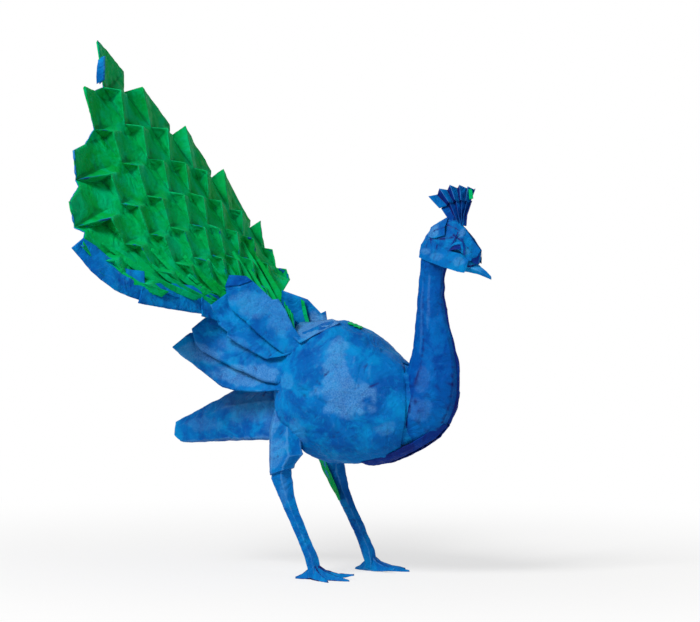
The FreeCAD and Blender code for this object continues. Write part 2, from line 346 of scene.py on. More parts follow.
def paper_material(name, base, light, deep, pale, painted_fold_shade, shine, outer=True, folds=1.0):
    """Thin dyed paper: mottled and flecked with fibres, with painted sheen in patches, a painted
    highlight on its ridges and painted shade in its folds.
    """
    nodes = Nodes(name)
    clouds = nodes.span(nodes.noise(85, 4, 0.65, 0.5), 0.46, 0.64)
    shade = nodes.span(nodes.noise(38, 4, 0.6, 0.8), 0.45, 0.62)
    blots = nodes.span(nodes.noise(260, 5, 0.75, 0.6), 0.52, 0.68)
    flecks = nodes.span(nodes.noise(1500, 3, 0.85), 0.55, 0.72)
    tint = nodes.mix(nodes.times(shade, 0.75), base, deep)
    tint = nodes.mix(nodes.times(clouds, 0.60), tint, light)
    tint = nodes.mix(nodes.times(blots, 0.40), tint, light)
    # how strongly the pale fibre flecks show varies at random
    wear_and_sheen = nodes.span(nodes.noise(55, 5, 0.7, 0.8), 0.50, 0.66, 0.10, 1.0)
    tint = nodes.mix(nodes.times(nodes.times(flecks, wear_and_sheen), 0.30), tint, pale)
    # patches of painted sheen, flecked with the paper's grain
    painted_sheen = nodes.attribute("painted_sheen")
    dust = nodes.span(nodes.noise(1700, 5, 0.8), 0.36, 0.66, 0.20, 0.72)
    tint = nodes.mix(nodes.times(painted_sheen, dust), tint, pale)
    bend = nodes.attribute("bend")
    # a painted highlight along ridges and painted shade along folds, as strong as folds says; on the
    # reverse side the bend reads the other way
    ridge, valley = ((-0.03, -0.20), (0.02, 0.18)) if outer else ((0.03, 0.20), (-0.02, -0.18))
    tint = nodes.mix(nodes.times(nodes.span(bend, *ridge), 0.30 * folds), tint, pale)
    tint = nodes.mix(nodes.times(nodes.span(bend, *valley), 0.95 * folds), tint, painted_fold_shade)
    wrinkles = nodes.reckon("SUBTRACT", nodes.noise(110, 3, 0.5, 0.9), 0.5)
    wrinkles = nodes.reckon("ABSOLUTE", wrinkles)
    fibres = nodes.noise(700, 6, 0.75, 0.4)
    bumps = {"Height": wrinkles, "Strength": 0.55, "Distance": 0.0035}
    bumps = {"Height": fibres, "Strength": 0.4, "Distance": 0.0003,
             "Normal": node(nodes.tree, "Bump", bumps, "Normal")}
    feed(nodes.tree, nodes.shader, {
        "Base Color": tint, "Specular IOR Level": shine,
        "Roughness": nodes.span(nodes.noise(300, 4, 0.6), 0.3, 0.7, 0.45, 0.70),
        "Normal": node(nodes.tree, "Bump", bumps, "Normal")})
    return nodes.material


def tones(*screen):
    """The base, light, deep and pale colours of a paper, the pale one also its painted highlight and
    sheen, and the colour of the painted shade in its folds.
    """
    return [colour(*value) for value in screen]


BLUE = tones((0, 101, 176), (0, 138, 202), (0, 68, 148), (96, 156, 210), (26, 12, 92))
GREEN = tones((0, 164, 82), (0, 178, 122), (0, 148, 50), (30, 180, 130), (0, 50, 26))
DEEP_BLUE = tones((0, 78, 158), (0, 104, 182), (0, 52, 136), (90, 140, 200), (20, 10, 84))
# the blue in shade: painted shade for undersides, pockets, creases and the sides of pleats that face
# away from the light
SHADED_BLUE = tones((10, 40, 120), (0, 60, 150), (20, 20, 96), (60, 90, 170), (14, 6, 60))
blue = paper_material("blue_paper", *BLUE, 0.05)
blue_back = paper_material("blue_paper_reverse", *BLUE, 0.05, outer=False)
green = paper_material("green_paper", *GREEN, 0.02, folds=0.5)
green_back = paper_material("green_paper_reverse", *GREEN, 0.02, outer=False)
navy = paper_material("blue_paper_deep", *DEEP_BLUE, 0.04)
dark = paper_material("blue_paper_shaded", *SHADED_BLUE, 0.05)

# each paper with its reverse after it; a facet's side is its paper's place here
PAPERS = (blue, blue_back, green, green_back, navy, blue_back, dark, dark)
# DARK is the place of the shaded paper, used as painted shade
GREEN_SIDE, NAVY, DARK = 2, 4, 6


# ---- train -----------------------------------------------
TRAIN_CENTRE = (-5.5, 0.0, 55.8)    # where all the folds of the train would meet
TRAIN_LEAN = math.radians(53.3)
TRAIN_LENGTH = 187.0                # centre to the corner of the sheet
TRAIN_BASE = 48.0                   # centre to where the train leaves the back
TRAIN_REACH = 75.5                  # middle to a side corner
TRAIN_CORNER = 111.0                # centre to the line through the side corners
TRAIN_PLEATS = 4                    # on each side of the middle one
PLEAT = math.radians(8.2)
TRAIN_ROWS = 8                      # the last is the tip alone
ROW_FIRST = 70.0
ROW_LAST = 167.0
ROW_BOW = 9.5                       # how far a row drops back at the side corners
SCALE_DEPTH = 11.5                  # peak to pit of the largest scales
ROOF_FALL = 13.0                    # how far the side corners lie below the middle
RIM_TOOTH = 6.0                     # how far a peak may lie outside the square sheet's edge
RIM = {  # pleat: shares of a pleat aside and millimetres farther out,
    -4: ((-0.15, -3.5),),           # of its last peak and, on the left side, of the heel of the
    -3: ((-0.42, -2.5),),           # notch beside it and of the corner above the notch
    -2: ((-0.36, -2.0),),
    -1: ((0.05, 4.0),),
    0: ((-0.05, 3.5),),
    1: ((-0.12, 3.2), (0, 5.5), (0.12, 11.0)),
    2: ((0.0, 7.2), (0, 5.5), (0, 7.0)),
    3: ((0.0, 8.0), (0, 6.0), (0, 6.5)),
    4: ((-0.1, 2.5), (0, 2.0), (0, 2.5)),
}
RECESS = {-4: 2.0, -3: 2.0}         # pleat: how far the rim between it and the next lies out
SPREAD = {-3: -0.55, -2: -0.50}     # the same for the foot of its last crest, in pleats aside
TIP_CURL = 3.0                      # how far the sheet's corner curls forward
TRAIN_EDGE = PLEAT * 4.28           # fold angle of the sheet's own edges
GATHER = 0.75                       # how far the right side's pleats run together at the back,
GATHER_ENDS = 58.0, 88.0            # and the distances from the centre where that eases and ends
LEVEL_ENDS = 62.0, 100.0            # between these the left side comes down to its full fall
ROOT_FOLDS = 38.0                   # length of the folds that gather the train
HAND = 0.55                         # how far a corner strays, as hand folding leaves it

train_way = Vector((-math.cos(TRAIN_LEAN), 0, math.sin(TRAIN_LEAN)))
train_face = Vector((math.sin(TRAIN_LEAN), 0, math.cos(TRAIN_LEAN)))


def train_row(place):
    """How far a row of scales lies from the centre."""
    share = place / (TRAIN_ROWS - 2)
    return ROW_FIRST + (ROW_LAST - ROW_FIRST) * (0.87 * share + 0.13 * share ** 2)


def train_outer(angle):
    """How far the square sheet's edge lies from the centre, along a fold."""
    slant = (TRAIN_LENGTH - TRAIN_CORNER) / TRAIN_REACH
    return TRAIN_LENGTH / (1.0 + abs(math.tan(angle)) * slant)


def train_inner(angle):
    """How far a fold starts from the centre."""
    lower_corner = TRAIN_CORNER * 0.74
    return TRAIN_BASE + (lower_corner - TRAIN_BASE) * (angle / TRAIN_EDGE) ** 2


def gathered(angle, along):
    """The pleats of the right side run together behind the wing."""
    share = clamp((along - GATHER_ENDS[0]) / (GATHER_ENDS[1] - GATHER_ENDS[0]))
    return angle * (1.0 - GATHER * (1.0 - share) ** 2 * clamp(-angle / TRAIN_EDGE))


def on_train(angle, along, height):
    """A point of the train: fold angle, distance from the centre, height of the relief."""
    across = along * math.tan(gathered(angle, along))
    share = abs(across) / TRAIN_REACH
    fall = ROOF_FALL * (0.3 * share + 0.7 * share ** 2)
    if angle > 0:
        fall *= clamp((along - LEVEL_ENDS[0]) / (LEVEL_ENDS[1] - LEVEL_ENDS[0]))
    spot = Vector(TRAIN_CENTRE) + train_way * (along - ROW_BOW * share ** 2)
    spot = spot + Vector((0, across, 0)) + train_face * (height - fall)
    return spot + noise.noise_vector(spot * 0.31) * HAND


def scale_size(along):
    """Height of a scale above the middle of the relief."""
    return SCALE_DEPTH / 2 * (0.3 + 0.7 * (along - TRAIN_BASE) / (ROW_LAST - TRAIN_BASE))


def top_row(place):
    """The last row of scales that fits on a pleat, counted from the middle one."""
    reach = train_outer(place * PLEAT) + RIM_TOOTH
    return max(row for row in range(TRAIN_ROWS) if train_row(row) <= reach)


def train_column(angle, level, stops, count, reaches=()):
    """Points of one fold from back to rim; stops that lie off the back of the sheet join its start.

    reaches gives how far its last few stops lie farther out than the others."""
    inner = train_inner(angle)
    first = on_train(angle, inner, level * scale_size(inner))
    points = [first]
    for number, (turn, along, height) in enumerate(stops[:count]):
        curl = TIP_CURL * max(0.0, (along - ROW_LAST) / (TRAIN_LENGTH - ROW_LAST))
        if along < train_inner(angle + turn) * 1.03:
            points.append(first)
        else:
            last = number - count + len(reaches)
            aside, farther = reaches[last] if last >= 0 else (0.0, 0.0)
            points.append(on_train(angle + turn + aside * PLEAT, along + farther, height + curl))
    return points + [None] * (len(stops) - count)


def train_stops():
    """Where the folds of each kind turn, row by row from the back: turn, distance and height.

    A scale is a small tent.  Its crest falls from the peak towards the back, one side of it is a
    steep wall that rises from the scale behind, and the other a hollow up to the next crest.
    """
    crest, wall, foot, hollow, hem = [], [], [], [], []
    for row in range(TRAIN_ROWS + 1):
        along = train_row(row)
        behind = along - (train_row(row - 1) if row else TRAIN_BASE)
        ahead = train_row(row + 1) - along
        size = scale_size(along)
        low = (-PLEAT * 0.03, along - behind * 0.70, -size * 0.15)
        crest += [low, (0.0, along, size)]
        wall += [low, (PLEAT * 0.16, along + ahead * 0.04, -size * 0.50)]
        foot += [low, (-PLEAT * 0.08, along + ahead * 0.09, -size * 0.55)]
        hollow += [(-PLEAT * 0.14, along - behind * 0.64, -size * 0.66),
                   (-PLEAT * 0.04, along + ahead * 0.045, size * 0.30)]
        hem += [(0.0, along - behind * 0.6, -size * 0.6), (0.0, along, 0.0)]
    return crest, wall, foot, hollow, hem


def make_train():
    """Rows of scales, whose outermost peaks and crests make the zigzag rim, and a hem each side."""
    crest, wall, foot, hollow, hem = train_stops()
    columns = [("hem", train_column(-TRAIN_EDGE, -0.6, hem, 2 * top_row(-TRAIN_PLEATS)))]
    for place in range(-TRAIN_PLEATS, TRAIN_PLEATS + 1):
        angle = place * PLEAT
        count = 2 * (top_row(place) + 1)
        peak, *notch = RIM[place]
        spread = ((SPREAD.get(place, 0.0), 0.0), (0.0, 0.0))
        tip = train_column(angle, 0.8, crest, count, (spread[0], peak))
        side = train_column(angle, 0.8, wall, count, spread)
        base = train_column(angle, 0.8, foot, count + 1 if notch else count, notch or spread)
        if not notch:
            base[count] = tip[count].lerp(base[count], 0.1)
        side[count] = tip[count].lerp(base[count], 0.5)
        columns += [("foot", base), ("wall", side), ("crest", tip)]
        if place < TRAIN_PLEATS:
            half = (peak[0] / 2, peak[1] / 2 + RECESS.get(place, 0.0))
            columns.append(("hollow", train_column(angle + PLEAT / 2, -0.6, hollow, count, (half,))))
    columns.append(("hem", train_column(TRAIN_EDGE, -0.6, hem, 2 * top_row(TRAIN_PLEATS) + 1)))

    sheet = Sheet()
    for (kind, one), (other_kind, two) in zip(columns, columns[1:]):
        for row in range(len(one) - 1):
            corners = [one[row], two[row], two[row + 1], one[row + 1]]
            if None not in corners or "wall" not in (kind, other_kind):
                sheet.facet([corner for corner in corners if corner])
    paper_piece("train", sheet, (green, blue_back),
                crumpled=0.22, size=7.0, thick=0.45, rim=1, crisp=True)


HEM_LENGTHS = (  # start and stop along the edge, how far it sags below the
    (0.0, 0.36, 2.2, 8.8, 5.0),     # edge, its width, and how far it stands off the train
    (0.345, 0.69, 4.6, 6.6, 3.2),
    (0.675, 1.0, 6.2, 7.4, 3.2),
)
TIP_PATCH = (  # share of the way from the tip to the peak before it, width
    (0.24, 0.6, 0.2),               # to its left and to its right
    (0.42, 2.2, 0.9),
    (0.66, 2.9, 1.9),
    (0.84, 2.6, -0.6),
)


def hem_path():
    """The lower edge of the train's near side, from the side corner to the middle of the root."""
    path = [on_train(-4.02 * PLEAT, 114.0, -1.0), on_train(-4.22 * PLEAT, 103.0, -2.0),
            on_train(-TRAIN_EDGE, 90.0, -2.5)]
    for place in (4.28, 3.7, 3.1, 2.5, 1.9, 1.3, 0.7):
        inner = train_inner(place * PLEAT)
        path.append(on_train(-place * PLEAT, inner, -0.6 * scale_size(inner)))
    return path


def make_train_hem():
    """The turned-up margin under the near side of the train, blue side out, in three lengths, and
    a patch of the blue side at the tip."""
    path = hem_path()
    lengths = [0.0]
    for one, two in zip(path, path[1:]):
        lengths.append(lengths[-1] + (two - one).length)

    def along_edge(share):
        place = share * lengths[-1]
        for k in range(len(path) - 1):
            if place <= lengths[k + 1] or k == len(path) - 2:
                return path[k].lerp(path[k + 1], (place - lengths[k]) / (lengths[k + 1] - lengths[k]))

    sheet = Sheet()
    for start, stop, sag, wide, lift in HEM_LENGTHS:
        rows = [[], [], []]
        for step in range(7):
            share = step / 6
            place = start + (stop - start) * share
            spot = along_edge(place)
            ahead = along_edge(min(place + 0.02, 1.0)) - along_edge(max(place - 0.02, 0.0))
            inward = train_face.cross(ahead.normalized())
            drop = sag - 1.5 * math.sin(math.pi * share) * math.sin(2.2 + 3.0 * share)
            deep = wide * (0.2 + 0.9 * share ** 0.4)
            rows[0].append(spot - inward * drop + train_face * 0.3)
            rows[1].append(spot + inward * (deep * 0.4) + train_face * (lift * 0.8))
            rows[2].append(spot + inward * deep + train_face * (lift + 0.5 * math.sin(7 * share)))
        sheet.grid(rows)

    crest = train_column(0.0, 0.8, train_stops()[0], 2 * TRAIN_ROWS)
    tip, low = crest[2 * TRAIN_ROWS], crest[2 * TRAIN_ROWS - 1]
    aside = train_face.cross((low - tip).normalized())
    aside *= -1 if aside.y > 0 else 1
    rows = []
    for share, left, right in TIP_PATCH:
        spot = tip.lerp(low, share) + train_face * 0.3
        rows.append([spot + aside * left - train_face * 2.6, spot + train_face * 0.2,
                     spot - aside * right - train_face * 2.4])
    sheet.grid(rows)
    paper_piece("train_hem", sheet, (blue, blue_back), size=5.0, thick=0.4, crisp=True)


def make_train_roots():
    """The long thin folds that gather the train where it goes in under the wing."""
    sheet = Sheet()
    for half in range(-8, 7):
        place = half / 2 * PLEAT
        inner = train_inner(abs(place))
        length = ROOT_FOLDS * (1.0 if half % 2 else 0.7)
        rows = []
        for share in (0.0, 0.35, 0.7, 1.0):
            along = inner + length * share
            wide = 0.21 * PLEAT * (1.0 - 0.9 * share)
            foot = 0.4 - 0.8 * share
            ridge = foot + 2.4 * (1.0 - 0.5 * share)
            rows.append([on_train(place - wide, along, foot), on_train(place, along, ridge),
                         on_train(place + wide * 0.6, along, foot)])
        sheet.grid(rows)
    paper_piece("train_roots", sheet, (green, green_back),
                crumpled=0.12, size=5.0, thick=0.3, crisp=True)


# ---- body ------------------------------------------------
BODY = (  # X, lowest Z, highest Z, half the width
    (-29.0, 64.4, 78.1, 4.2),
    (-23.4, 53.0, 88.3, 12.6),
    (-13.5, 47.9, 98.6, 18.9),
    (-0.5, 45.0, 102.0, 21.0),
    (11.9, 44.4, 97.4, 20.4),
    (23.1, 46.7, 88.9, 16.8),
    (34.2, 50.7, 82.6, 11.3),
    (43.5, 56.4, 79.2, 6.3),
    (49.7, 64.4, 74.6, 2.1),
)
BODY_SQUARE = 0.86                  # 1 is an ellipse, less is squarer
FLANK = (  # down the wrap: angle and X of its rear end, how far that
    (0, 2.8, 0.3, 28.0, 0),         # stands off, and X and angle of its front end
    (12, -2.6, 0.5, 30.0, 12),
    (22, -7.0, 0.6, 31.5, 24),
    (32, -11.4, 0.9, 33.0, 38),
    (43, -17.4, 1.3, 34.0, 52),
    (61, -20.2, 1.4, 34.5, 66),
    (83, -20.2, 1.8, 34.6, 84),
    (96, -20.4, 2.2, 34.4, 96),
    (105, -19.0, 2.0, 34.0, 106),
    (118, -15.8, 1.2, 33.2, 118),
    (132, -11.8, 0.9, 32.2, 130),
    (146, -9.4, 0.8, 31.2, 142),
    (158, -6.2, 0.8, 30.6, 151),
    (166, -1.0, 0.5, 30.4, 157),
)


def between(table, place):
    """The other columns of a table at a place in its first one."""
    columns = np.array(table).T
    return [np.interp(place, columns[0], column) for column in columns[1:]]


def body_at(x, angle, out=0.0):
    """A point of the body's skin; angle 0 is the back and 180 the belly, on the left side."""
    low, high, half = between(BODY, x)
    c, s = (math.copysign(abs(turn) ** BODY_SQUARE, turn)
            for turn in (math.cos(math.radians(angle)), math.sin(math.radians(angle))))
    return (x, (half + out) * s, (low + high) / 2 + ((high - low) / 2 + out) * c)


def make_body():
    """The inner layers of the body, a little inside its outer wraps."""
    sheet = Sheet()
    rings = [[body_at(x, angle, -0.9) for angle in range(0, 360, 30)] for x, *_ in BODY]
    sheet.tube([ring[::-1] for ring in rings], sharp_columns=(0, 11), sharp=0.5)
    paper_piece("body", sheet, (blue,), crumpled=0.3, size=11.0)


def make_flank():
    """The outer wrap of the left side, from the ridge of the back to its free lower edge."""
    rows = []
    for rear_angle, rear, lift, front, front_angle in FLANK:
        row = []
        for stop in (0.0, 0.085, 0.25, 0.45, 0.65, 0.85, 0.97, 1.0):
            x = rear + (front - rear) * stop
            angle = rear_angle + (front_angle - rear_angle) * stop
            off = {1.0: -0.7, 0.97: 0.1}.get(stop, 0.4)
            row.append(body_at(x, angle, off + lift * (1 - stop) ** 4))
        rows.append(row)
    sheet = Sheet()
    sheet.grid(rows, sharp_rows=(0, len(rows) - 1), sharp_columns=(0, 7), sharp=1.0)
    sheet.pin([rows[k][0] for k in (2, 4, 6, 8, 9, 11, 13)])
    for one, two in zip(rows[4:], rows[5:]):
        sheet.crease(one[1], two[1], 0.7)
    fold = [rows[k][column] for column, k in enumerate((1, 3, 5, 6, 8, 10), 1)]
    for one, two in zip(fold, fold[1:]):
        sheet.crease(one, two, 0.5)
    for one, two in zip(rows[:-1], rows[1:]):
        sheet.crease(one[5], two[5], 0.35)
    return sheet


def make_flanks():
    """The outer wraps of both sides, with patches of painted sheen on the right one; their reverse
    side, in the shaded paper, is painted shade.
    """
    sheet = make_flank().doubled()
    # patches of painted sheen
    painted_sheen = ((12.6, 72.0, 10.0, 7.0, 0.8), (8.0, 83.0, 5.0, 9.0, 0.75),
              (6.5, 92.0, 2.0, 4.0, 0.55), (-10.0, 58.0, 4.0, 5.0, 0.3),
              (-14.0, 78.0, 4.0, 3.0, 0.3), (27.0, 60.0, 4.0, 3.0, 0.3))
    paper_piece("flanks", sheet, (blue, dark), levels=4,
                crumpled=0.45, size=15.0, thick=0.5, wear_and_sheen=painted_sheen)


SADDLE = (  # angle from the ridge, X of the rear and of the front edge
    (0, -14.0, 6.0),
    (22, -13.0, 0.0),
    (46, -13.5, -8.0),
)
SADDLE_SHOULDER = (  # round the layer that stands between the wings
    (-29.5, 6.0, 112.6), (-18.1, 6.5, 109.2), (-17.0, 6.5, 108.3), (-11.8, 6.0, 103.8),
    (-9.0, 5.0, 104.8), (-8.3, 5.0, 99.7), (-15.6, 5.0, 98.6), (-20.6, 5.5, 97.9),
    (-30.0, 6.5, 106.9),
)
SADDLE_SLIT = (  # round the green strip that shows inside it
    (-19.8, 4.2, 109.2), (-18.2, 4.0, 108.5), (-16.8, 3.4, 104.2), (-15.4, 3.0, 99.9),
    (-17.2, 3.0, 100.1), (-18.8, 3.6, 104.8),
)
SADDLE_FOLD = (  # round the folded corner that lies on the right side
    (-17.2, -2.0, 100.4), (-9.6, -1.5, 101.1), (-2.8, -1.5, 102.2), (3.4, -6.5, 101.2),
    (-2.5, -13.8, 97.4), (-9.0, -17.0, 93.2), (-14.6, -14.4, 96.4),
)


def make_saddle():
    """The layers on top of the rump, made lighter by a patch of painted sheen: one that comes out
    from under the wraps, one that stands between the wings, and a folded corner.  The green side
    shows in a scrap on the ridge of the back, in a slit, and in a pleated edge beside the right wing."""
    sheet = Sheet()

    def facets(outline, choices, side=0):
        for choice in choices:
            sheet.facet([outline[k] for k in choice], side)

    for side in (-1, 1):
        rows = [[body_at(rear + (front - rear) * stop, angle * side, 0.2 + 0.4 * (1 - stop))
                 for stop in (0.0, 0.5, 1.0)] for angle, rear, front in SADDLE]
        sheet.grid(rows[::side])
    scrap = [[body_at(4.5 + 1.1 * k, 3 - 1.5 * (k % 2), 0.9 - 0.3 * (k % 2)) for k in range(6)],
             [body_at(5.0 + 1.1 * k, -5 - 1.5 * (k % 2), 1.0) for k in range(6)]]
    sheet.grid(scrap[::-1], side=GREEN_SIDE)
    facets(SADDLE_SHOULDER, ((0, 1, 7, 8), (1, 2, 6, 7), (2, 3, 5, 6), (3, 4, 5)))
    facets(SADDLE_SLIT, ((0, 1, 2, 5), (5, 2, 3, 4)), GREEN_SIDE)

    ridge = Vector((0.6, -0.9, -0.5))
    for step in range(3):
        line = []
        for start, onward in (((-15.8, -12.5, 98.8), (0.7, 0.0, 0.0)),
                              ((-19.4, -11.0, 109.0), (1.4, 0.0, -1.6))):
            spot = Vector(start) + Vector(onward) * step
            line.append((spot, spot + ridge, spot + Vector(onward)))
        foot, top = line
        for k in range(2):
            sheet.facet([foot[k], foot[k + 1], top[k + 1], top[k]], GREEN_SIDE)
    facets(SADDLE_FOLD, ((6, 5, 4, 1, 0), (4, 3, 2, 1)))
    # a patch of painted sheen on the saddle
    paper_piece("saddle", sheet, PAPERS, crumpled=0.15, size=8.0, thick=0.35,
                wear_and_sheen=((-6.0, 99.0, 11.0, 5.0, 1.0),), crisp=True)


KEEL = (  # upper, middle and lower line on the left, from the rear
    ((14.0, 8.6, 45.9), (22.0, 9.2, 48.0), (29.0, 8.6, 50.8),
     (36.0, 7.4, 54.3), (42.5, 5.6, 58.6), (46.8, 3.4, 62.6)),
    ((15.0, 6.6, 45.0), (22.5, 7.2, 46.7), (29.5, 6.6, 49.4),
     (36.6, 5.6, 53.0), (43.2, 4.1, 57.4), (48.0, 2.2, 62.0)),
    ((17.0, 4.0, 44.4), (23.0, 4.0, 45.7), (30.0, 3.6, 48.5),
     (37.0, 3.0, 52.0), (43.8, 2.0, 56.2), (48.6, 0.8, 61.2)),
)


def make_keel():
    """The folded edge along the underside of the breast, in the shaded paper: painted shade under the
    breast.
    """
    left = Sheet()
    left.grid(KEEL, side=DARK)
    paper_piece("keel", left.doubled(), PAPERS, crumpled=0.12, size=4.0, thick=0.4, crisp=True)


# ---- neck ------------------------------------------------
NECK = (  # Z, X behind, X in front, half the width
    (53.5, 31.0, 38.0, 4.5),
    (57.0, 27.0, 43.5, 8.0),
    (62.0, 25.0, 48.0, 9.6),
    (68.0, 25.0, 51.6, 10.0),
    (76.0, 27.0, 52.8, 9.0),
    (84.0, 30.5, 52.3, 7.0),
    (90.0, 32.6, 51.1, 5.8),
    (96.0, 33.4, 49.7, 5.2),
    (104.0, 34.2, 47.2, 4.6),
    (112.0, 34.9, 46.0, 4.2),
    (119.0, 35.4, 45.8, 4.0),
    (125.0, 36.4, 46.8, 4.0),
    (134.0, 37.6, 48.0, 4.0),
)


def make_neck():
    """A flattened tube, creased along its sides, that widens into the breast, and the wavy edge of
    the sheet along its front, in the shaded paper as painted shade."""
    section = ((0.0, 0.0), (0.06, 0.50), (0.40, 1.0), (0.74, 0.86), (0.97, 0.40), (1.0, 0.0))
    rings = []
    for z, back, front, half in NECK:
        side = [(back + (front - back) * share, half * wide, z) for share, wide in section]
        rings.append(side + [(x, -y, z) for x, y, z in side[-2:0:-1]])
    sheet = Sheet()
    sheet.tube(rings, sharp_columns=(0, 2, 4, 6, 8), sharp=0.75)
    edge = []
    for z, _, front, _ in NECK[2:-1]:
        wave = 0.35 * math.sin(z * 0.31) + 0.2 * math.sin(z * 0.83)
        edge.append([(front - 2.0, 2.4, z), (front + 0.1 + wave * 0.5, 1.7, z),
                     (front + 0.5 + wave, 0.6, z), (front - 0.6, -0.6, z)])
    strip = Sheet()
    strip.grid(edge, side=1, sharp_columns=(1, 2), sharp=0.9)
    sheet.add(strip)
    # streaks and patches of painted sheen
    painted_sheen = ((40.0, 68.0, 5.0, 4.5, 0.35), (38.6, 104.0, 0.7, 18.0, 0.35),
              (41.6, 112.0, 0.5, 12.0, 0.4), (41.0, 80.0, 2.5, 5.0, 0.25))
    paper_piece("neck", sheet, (navy, dark), crumpled=0.30, size=9.0, wear_and_sheen=painted_sheen)


# ---- head ------------------------------------------------
HEAD = (  # X, lowest Z, highest Z, half the width
    (36.2, 127.8, 132.2, 2.2), (38.5, 127.0, 135.6, 3.4), (41.0, 126.2, 139.0, 4.2),
    (44.0, 125.2, 141.0, 4.7), (48.5, 124.0, 143.3, 4.9), (52.0, 123.0, 142.0, 4.7),
    (55.7, 122.3, 139.1, 4.1), (58.5, 122.8, 135.6, 3.0), (61.0, 124.6, 132.2, 1.6),
    (62.4, 126.6, 130.5, 0.7),
)
HEAD_LAYERS = (  # lines across each layer: how far it stands off, then X and Z
    (                               # band round the back of the head and along the cheek
        (0.3, (35.9, 127.4), (35.9, 129.8), (36.3, 132.5)),
        (0.6, (38.0, 126.6), (38.6, 129.6), (40.3, 134.6)),
        (1.3, (42.4, 125.4), (43.4, 128.6), (44.6, 132.7)),
        (1.5, (48.8, 123.5), (49.3, 127.2), (49.4, 130.4)),
        (1.2, (53.5, 122.2), (54.2, 125.6), (54.6, 129.4)),
        (0.7, (56.2, 121.8), (57.2, 124.0), (57.9, 126.8)),
    ),
    (                               # middle layer of the crown, which ends in a step at the back
        (0.4, (37.9, 132.6), (37.9, 134.0), (38.4, 135.9)),
        (0.7, (42.0, 131.4), (41.2, 134.6), (41.0, 139.0)),
        (0.6, (49.0, 130.0), (47.4, 135.0), (45.4, 141.6)),
        (0.5, (52.0, 131.0), (51.6, 135.6), (50.4, 142.8)),
    ),
    (                               # uppermost layer at the back of the crown
        (0.9, (40.0, 135.4), (40.0, 137.0), (40.6, 139.3)),
        (1.2, (43.2, 135.2), (42.8, 138.0), (44.0, 141.4)),
        (1.0, (47.6, 136.4), (47.4, 139.6), (48.4, 143.6)),
    ),
    (                               # forehead, from the crest to the beak
        (0.5, (51.0, 132.0), (51.0, 136.6), (51.4, 142.4)),
        (1.0, (55.0, 130.0), (55.2, 134.0), (55.9, 139.1)),
        (0.9, (58.0, 126.6), (58.8, 130.0), (59.0, 134.9)),
        (0.5, (60.3, 126.2), (61.3, 128.2), (62.5, 130.6)),
    ),
)
EYE = (  # paper, then both edges of each strip: X, Z, how far off
    (DARK,                          # the pocket, in painted shade
     ((49.4, 130.1, 1.3), (51.4, 130.8, 1.6), (53.2, 131.0, 1.6), (54.9, 131.1, 1.5)),
     ((50.6, 131.5, 1.3), (52.2, 132.6, 1.6), (53.6, 132.9, 1.6), (54.7, 133.0, 1.5))),
    (0,                             # the lid over it
     ((49.0, 130.2, 1.5), (50.4, 131.7, 1.8), (52.2, 132.9, 1.9),
      (54.6, 133.0, 1.9), (55.1, 131.0, 1.7), (55.0, 129.6, 1.4)),
     ((50.0, 131.8, 1.4), (51.2, 133.0, 1.5), (52.6, 133.9, 1.5),
      (55.3, 134.0, 1.5), (55.9, 131.2, 1.5), (55.6, 129.6, 1.3))),
    (DARK,                          # the crease in front, in painted shade
     ((54.7, 135.4, 1.3), (55.9, 132.2, 1.6), (56.0, 128.6, 1.4)),
     ((55.2, 135.2, 1.3), (56.5, 132.2, 1.6), (56.6, 128.8, 1.4))),
    (DARK,                          # the crease above, in painted shade
     ((53.2, 138.0, 1.1), (51.8, 134.8, 1.2), (50.2, 131.9, 1.2)),
     ((53.6, 137.7, 1.1), (52.3, 134.6, 1.2), (50.8, 132.1, 1.2))),
    (DARK,                          # the fold over the beak, in painted shade
     ((59.0, 126.6, 0.9), (60.2, 125.4, 0.5), (61.7, 125.2, 0.3)),
     ((59.7, 127.6, 1.1), (61.0, 127.8, 0.8), (62.2, 129.6, 0.6))),
)
CROWN = 138.0                       # above this a layer's last point is tucked onto the head


def head_at(x, z, out=0.0, side=-1):
    """A point of the head's skin on one side, at out outside it."""
    low, high, half = between(HEAD, x)
    aside = half * math.sqrt(1.0 - clamp((z - low) / (high - low)) ** 2.2) + out
    return (x + 0.3 * aside, side * aside, z)


def make_head():
    """The inner form and, on each side, folded layers that lie over one another and the eye."""
    sheet = Sheet()
    rings = []
    for x, low, high, half in HEAD:
        ring = [head_at(x, low + (high - low) * share, -0.4 if share < 1 else 0.0, 1)
                for share in (1.0, 0.85, 0.5, 0.1)]
        rings.append(ring + [(x, -y, z) for x, y, z in ring[:0:-1]])
    sheet.tube(rings)
    for side in (-1, 1):
        for layer in HEAD_LAYERS:
            rows = []
            for out, *points in layer:
                outs = [out, out, out * 0.15 if points[2][1] > CROWN else out]
                rows.append([head_at(x, z, off, side) for (x, z), off in zip(points, outs)])
            sheet.grid(rows[::-side])
        for paper, *strip in EYE:
            rows = [[head_at(x, z, out, side) for x, z, out in row] for row in strip]
            sheet.grid(rows[::side], side=paper)
    # patches of painted sheen
    painted_sheen = ((43.0, 138.0, 2.8, 2.4, 0.7), (39.6, 130.0, 3.0, 1.8, 0.6),
              (46.0, 128.0, 3.4, 1.4, 0.4), (55.2, 137.2, 1.0, 1.8, 0.7),
              (55.4, 126.4, 2.0, 1.6, 0.5), (58.4, 129.8, 1.0, 1.0, 0.4))
    paper_piece("head", sheet, PAPERS, crumpled=0.12, size=5.0, wear_and_sheen=painted_sheen, crisp=True)


BEAK = (  # X, Z, depth and half the width
    (54.5, 124.4, 4.0, 3.0), (58.5, 124.0, 4.4, 2.6), (61.8, 123.0, 3.6, 2.0),
    (65.0, 121.2, 2.4, 1.3), (67.0, 119.9, 1.4, 0.5),
)


